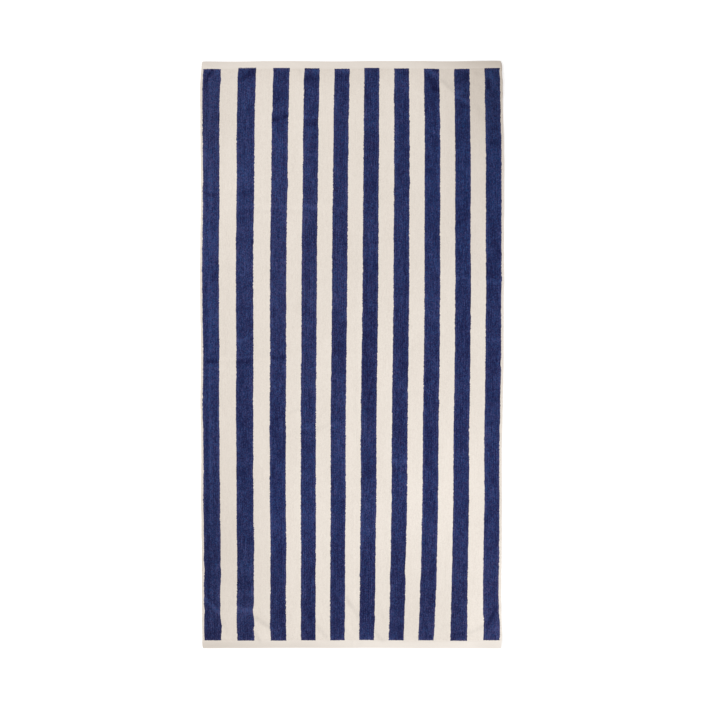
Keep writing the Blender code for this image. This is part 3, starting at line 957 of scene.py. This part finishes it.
# How the edges of the stripes stray from a straight line
stripeEdge = {
    "bleed": 0.7 * mm,       # how far navy pile leans over the cream
    # how far, then the size of one stray across and along, and the seed
    "wobble": (1.00 * mm, 34 * mm, 40 * mm, 3.1),
    "ragged": (0.78 * mm, 7 * mm, 11 * mm, 7.7),
    "tips": (0.78 * mm, 2.2 * mm, 3.2 * mm, 9.2),
    "ends": (0.3 * mm, 9 * mm, 30 * mm, 5.5),
    "looseness": (26 * mm, 60 * mm, 6.2),    # where the ragged stretches are
    "neatToLoose": (0.35, 1.25),
    "blur": 0.35 * mm,
}


def nearest(cloth, across, along):
    # distance into the nearest stripe, and into the pile field between the hems
    def strayed(name, pattern):
        amount, sizeAcross, sizeAlong, seed = stripeEdge[name]
        return pattern(across, along, sizeAcross, sizeAlong, seed) * amount

    slow = strayed("wobble", cloth.grain)
    stretches = cloth.grain(across, along, *stripeEdge["looseness"])
    loose = cloth.between(stretches, -0.5, 0.5, *stripeEdge["neatToLoose"])
    tips = strayed("tips", cloth.tufts)
    shifted = across - cloth.tone("edgeStep") + slow + (strayed("ragged", cloth.grain) + tips) * loose
    raised = along + tips * 0.6 + strayed("ends", cloth.grain)
    inside = None
    for left, (width, upper, lower) in stripes.items():
        middle, half = (left + width / 2) * mm, width / 2 * mm + stripeEdge["bleed"]
        centre, reach = (upper + lower) / 2 * mm, (upper - lower) / 2 * mm + stripeEdge["bleed"]
        depth = cloth.maths("MINIMUM", half - abs(shifted - middle), reach - abs(raised - centre))
        inside = depth if inside is None else cloth.maths("MAXIMUM", inside, depth)
    hemLine = towel["length"] / 2 - towel["hemDepth"]
    return inside, hemLine - abs(raised)


# The grain of the cut pile. Fine streaks, rows and threads run along the warp, tufts are single
# ends, and blotches and patches are where the pile leans.
pileGrain = {
    # size across, size along, seed, how much it shows on the navy and on the cream
    "streak": (1.3 * mm, 14 * mm, 1.3, 0.87, 0.12),
    "row": (1.5 * mm, 48 * mm, 2.9, 1.05, 0.12),
    "thread": (2.6 * mm, 420 * mm, 1.9, 0.67, 0.08),
    "tuft": (1.5 * mm, 2.4 * mm, 6.1, 1.65, 0.21),
    "blotch": (10 * mm, 15 * mm, 2.4, 0.30, 0.0),
    "patch": (24 * mm, 36 * mm, 5.1, 0.64, 0.04),
    "broad": (55 * mm, 110 * mm, 4.4, 0.55, 0.10),
    "long": (60 * mm, 500 * mm, 4.9, 0.45, 0.0),
}
pileLook = {
    "ribPitch": 6.3 * mm,    # the tufts stand in rows, which drift and fade
    "ribDrift": (9 * mm, 40 * mm, 7.3),
    "ribTurn": 3.0,
    "ribOnNavy": 0.40,
    "navyRange": 0.225,
    "creamRange": 0.5,
    # how strongly the painted sheen and shade of the creases show on the navy and on the cream
    "creaseShadingOnNavy": 0.76,
    "creaseShadingOnCream": 0.05,
    "edgeSheen": (1 * mm, 12 * mm, 0.52),    # navy pile is lighter from here to here inside its edge
    "strays": (0.5 * mm, 8 * mm, 0.40),      # cream fibres lean in from here to here
    "tuftHue": (1.4 * mm, 1.7 * mm, 8.6),    # single tufts are redder or bluer
    "patchHue": (22 * mm, 50 * mm, 8.1),
    "patchShare": 0.12,
    "hemGrain": (12 * mm, 1.4 * mm, 8.8),
    # pitch and height
    "hemRib": (1.3 * mm, 0.05 * mm),
    "hemThread": (0.9 * mm, 0.03 * mm),
    "tuftHeight": 0.25 * mm,
    "blotchHeight": 0.2 * mm,
}


def pileAndHems():
    cloth = Finish("towelCotton")
    weave = cloth.node("ShaderNodeUVMap", {"uv_map": "weave"})
    across = cloth.node("ShaderNodeSeparateXYZ", None, {0: weave})
    along = Wire(cloth, across.socket.node.outputs[1])
    nap, lean, warm = cloth.tone("nap"), cloth.tone("lean"), cloth.tone("warm")
    inside, toHem = nearest(cloth, across, along)
    navyMask = cloth.between(inside, -stripeEdge["blur"], stripeEdge["blur"])
    field = cloth.between(toHem, -0.4 * mm, 0.4 * mm)

    grain = {}
    navyTone, creamTone = 0.0, 0.0
    for name, (sizeAcross, sizeAlong, seed, onNavy, onCream) in pileGrain.items():
        pattern = cloth.tufts if name == "tuft" else cloth.grain
        grain[name] = pattern(across, along, sizeAcross, sizeAlong, seed)
        navyTone = navyTone + grain[name] * onNavy
        if onCream:
            creamTone = creamTone + grain[name] * onCream

    drift = cloth.grain(across, along, *pileLook["ribDrift"]) * pileLook["ribTurn"]
    rib = cloth.wave(across, pileLook["ribPitch"], drift)
    start, end, light = pileLook["edgeSheen"]
    navyTone = navyTone + rib * pileLook["ribOnNavy"] + cloth.between(inside, start, end, light, 0.0)
    # painted sheen and shade from the creases and from the leaning navy pile
    navyTone = navyTone + cloth.tone("navyCrease") * pileLook["creaseShadingOnNavy"] + lean
    navyStops = [(0.0, yarn["navyDeep"]), (0.5, yarn["navy"]), (1.0, yarn["navyTips"])]
    navyPlace = navyTone * pileLook["navyRange"] + 0.5
    navy = cloth.node("ShaderNodeValToRGB", {"stops": navyStops}, {0: navyPlace})
    start, end, most = pileLook["strays"]
    strays = cloth.between(inside, start, end, most, 0.0)
    hue = cloth.tufts(across, along, *pileLook["tuftHue"])
    hue = hue + cloth.grain(across, along, *pileLook["patchHue"]) * pileLook["patchShare"]
    # what makes navy redder takes a little of its blue
    tint = cloth.tint(
        hue * 0.82 + warm + strays + 1, strays * 0.12 + 1, 1 - hue * 0.06 - warm * 0.35
    )
    navy = cloth.blend(1.0, navy, tint, way="MULTIPLY")

    creamStops = [(0.0, yarn["creamDeep"]), (0.5, yarn["cream"]), (1.0, yarn["creamTips"])]
    creamPlace = creamTone * pileLook["creamRange"] + 0.5
    cream = cloth.node("ShaderNodeValToRGB", {"stops": creamStops}, {0: creamPlace})
    hemGrain = cloth.grain(across, along, *pileLook["hemGrain"]) * 0.08
    hem = cloth.blend(cloth.between(hemGrain, 0.0, 0.3) * 0.3, yarn["hemCream"], yarn["creamDeep"])

    ground = cloth.blend(field, hem, cream)
    # painted shade and light of the creases on the cream
    creaseShade = 1 + cloth.tone("creamCrease") * pileLook["creaseShadingOnCream"]
    ground = cloth.blend(1.0, ground, creaseShade, way="MULTIPLY")
    colour = cloth.blend(navyMask, ground, navy)
    # painted light and shade: darker where less light falls, and a touch warmer too
    shadingTint = cloth.tint(1 + nap * 0.92, 1 + nap, 1 + nap * 1.08)
    colour = cloth.blend(1.0, colour, shadingTint, way="MULTIPLY")

    # the pile's tips and the ribs of the hem stand up in the light
    pileHeight = (grain["tuft"] + grain["streak"]) * pileLook["tuftHeight"]
    pileHeight = pileHeight + grain["blotch"] * pileLook["blotchHeight"]
    ribPitch, ribHeight = pileLook["hemRib"]
    threadPitch, threadHeight = pileLook["hemThread"]
    hemHeight = cloth.wave(along, ribPitch) * ribHeight + cloth.wave(across, threadPitch) * threadHeight
    height = pileHeight * field + hemHeight * (1 - field)
    raised = cloth.node("ShaderNodeBump", None, {"Strength": 0.8, "Distance": 1.0, "Height": height})
    return cloth.cover(cloth.node("ShaderNodeBsdfPrincipled", None, {
        "Base Color": colour,
        "Roughness": yarn["roughness"],
        "Specular IOR Level": yarn["gloss"],
        "Sheen Weight": yarn["sheen"],
        "Sheen Roughness": yarn["sheenRoughness"],
        "Normal": raised,
    }))


# Lock stitches along the hems and down both sides
stitching = {
    "long": 3.1 * mm,
    "pitch": 3.7 * mm,
    "thick": 0.30 * mm,
    "hemRun": (3 * mm, 5 * mm),      # how far from the sides the hem seams start and end
    "sideRun": (24 * mm, 26 * mm),   # and the side seams from the ends
    "stations": (
        # part of its length, then its radius and height in parts of thick
        (0.0, 0.45, -0.6),
        (0.22, 0.9, 0.35),
        (0.5, 1.0, 0.7),
        (0.78, 0.9, 0.35),
        (1.0, 0.45, -0.6),
    ),
    "sides": 6,
}


def sewStitches():
    half = towel["length"] / 2
    pitch, long = stitching["pitch"], stitching["long"]
    left, right = wovenPlaces[0] * mm, wovenPlaces[-1] * mm
    starts, ends = [], []
    reach, centre = (right - left) / 2, (right + left) / 2
    first, last = stitching["hemRun"]
    for end in (-1, 1):
        seam = end * (half - towel["hemSeam"])
        for x in np.arange(-reach + first, reach - last, pitch):
            starts.append((centre + x, seam))
            ends.append((centre + x + long, seam))
    first, last = stitching["sideRun"]
    for seam in (left + towel["sideSeam"], right - towel["sideSeam"]):
        for y in np.arange(-half + first, half - last, pitch):
            starts.append((seam, y))
            ends.append((seam, y + long))
    starts, ends = np.array(starts), np.array(ends)
    points, faces = [], []
    turns = np.arange(stitching["sides"]) * 2 * math.pi / stitching["sides"]
    for part, swell, arch in stitching["stations"]:
        on = starts + (ends - starts) * part
        x, y, z, lift = upperFace(on[:, 0], on[:, 1])
        run = (ends - starts) / long
        radius = stitching["thick"] * swell
        for turn in turns:
            aside, up = math.cos(turn) * radius, math.sin(turn) * radius
            height = z + stitching["thick"] * arch + up
            points.append(np.stack([x - run[:, 1] * aside, y + run[:, 0] * aside, height], 1))
    perStitch = len(points)
    points = np.stack(points, 1).reshape(-1, 3)
    sides = stitching["sides"]
    unit = []
    for ring in range(len(stitching["stations"]) - 1):
        for k in range(sides):
            low, high = ring * sides, (ring + 1) * sides
            unit.append((low + k, high + k, high + (k + 1) % sides, low + (k + 1) % sides))
    for stitch in range(len(starts)):
        base = stitch * perStitch
        faces += [tuple(base + k for k in face) for face in unit]
        faces.append(tuple(base + k for k in range(sides)))
        faces.append(tuple(base + perStitch - 1 - k for k in range(sides)))
    mesh = bpy.data.meshes.new("hemStitches")
    mesh.from_pydata(points.tolist(), [], faces)
    mesh.polygons.foreach_set("use_smooth", np.ones(len(faces), bool))
    piece = bpy.data.objects.new("hemStitches", mesh)
    bpy.context.scene.collection.objects.link(piece)
    return piece


threadLook = {
    "twists": 900.0,         # in a metre
    "shaded": (0.70, 0.63, 0.55, 1.0),
    "lit": (0.84, 0.78, 0.71, 1.0),
    "twistHeight": 0.1 * mm,
}


def spunThread():
    thread = Finish("sewingThread")
    place = thread.node("ShaderNodeTexCoord", None, None, out=3)
    turns = {"Vector": place, "Scale": threadLook["twists"], "Detail": 1.0}
    twist = thread.node("ShaderNodeTexNoise", None, turns)
    colour = thread.blend(twist, threadLook["shaded"], threadLook["lit"])
    bumps = {"Strength": 0.6, "Distance": threadLook["twistHeight"], "Height": twist}
    raised = thread.node("ShaderNodeBump", None, bumps)
    return thread.cover(thread.node("ShaderNodeBsdfPrincipled", None, {
        "Base Color": colour,
        "Roughness": 0.7,
        "Specular IOR Level": 0.25,
        "Normal": raised,
    }))


def layFloor():
    size = studio["floorSize"] / 2
    mesh = bpy.data.meshes.new("floor")
    corners = [(-size, -size, 0), (size, -size, 0), (size, size, 0), (-size, size, 0)]
    mesh.from_pydata(corners, [], [(0, 1, 2, 3)])
    floor = bpy.data.objects.new("floor", mesh)
    floor.location.z = -studio["floorDrop"]
    paper = Finish("paleFloor")
    paperSurface = paper.node("ShaderNodeBsdfPrincipled", None, {
        "Base Color": studio["floorColour"],
        "Roughness": 1.0,
        "Specular IOR Level": 0.0,
        "Emission Color": (1.0, 1.0, 1.0, 1.0),
        "Emission Strength": studio["floorGlow"],
    })
    mesh.materials.append(paper.cover(paperSurface))
    bpy.context.scene.collection.objects.link(floor)


setCamera()
lightStudio()
layFloor()
print("camera, light and floor are set")

cloth = weaveTowel()
cloth.data.materials.append(pileAndHems())
print("towel woven:", len(cloth.data.polygons), "faces")

stitches = sewStitches()
stitches.data.materials.append(spunThread())
print("hems sewn:", len(stitches.data.polygons), "faces")

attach(cloth, "root")
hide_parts("towel")
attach(stitches, "root")
